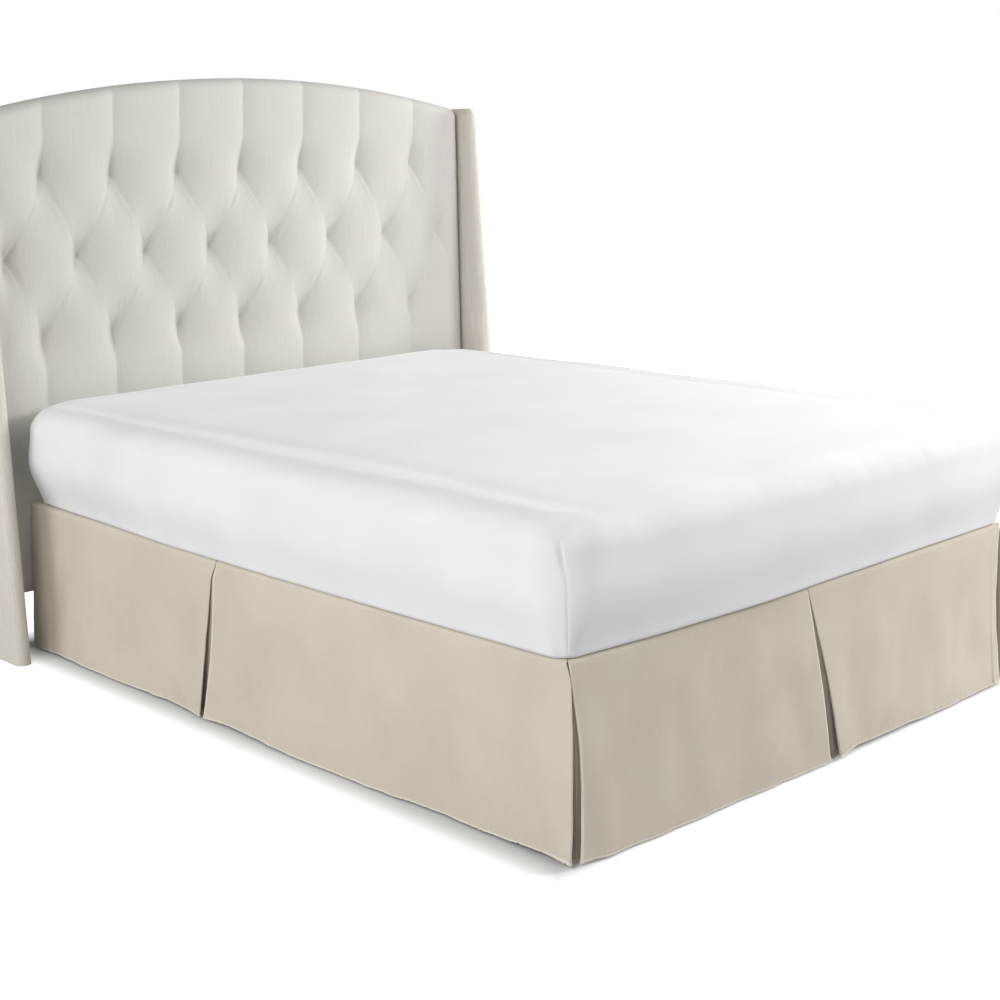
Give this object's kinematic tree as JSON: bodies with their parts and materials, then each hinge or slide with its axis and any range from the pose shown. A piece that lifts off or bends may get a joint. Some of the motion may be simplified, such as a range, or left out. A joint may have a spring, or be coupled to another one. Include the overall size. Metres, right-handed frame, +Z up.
{
  "type": "bed skirt on a bed with a mattress and a tufted headboard",
  "caption": "Tailored bed skirt with a flat deck, drops with inverted box pleats and pleated foot corners, on a bed with a mattress and a tufted winged headboard.",
  "frame": {"origin": "middle of the whole part's footprint, on the floor", "axes": "+X across the bed to the right as seen from the foot, +Y from the foot to the head, +Z up"},
  "size_m": [1.7976, 2.2024, 1.558],
  "materials": {
    "skirt_cloth": "brushed microfibre, matt",
    "deck_cloth": "plain woven, matt",
    "ticking": "woven ticking, matt",
    "steel": "black, satin",
    "leg_wood": "dark, satin",
    "fitted_sheet": "brushed microfibre, white",
    "headboard_linen": "ribbed linen weave, ivory",
    "wing_linen": "ribbed linen weave, beige"
  },
  "bodies": {
    "root": {"platform": "deck_cloth", "drop_left": "skirt_cloth", "drop_foot": "skirt_cloth", "drop_right": "skirt_cloth", "box_spring": "ticking", "rail_left": "steel", "rail_right": "steel", "leg_1": "leg_wood", "leg_2": "leg_wood", "leg_3": "leg_wood", "leg_4": "leg_wood", "leg_5": "leg_wood", "leg_6": "leg_wood", "mattress": "fitted_sheet", "headboard_panel": "headboard_linen", "wing_left": "wing_linen", "wing_right": "wing_linen"}
  },
  "joints": []
}
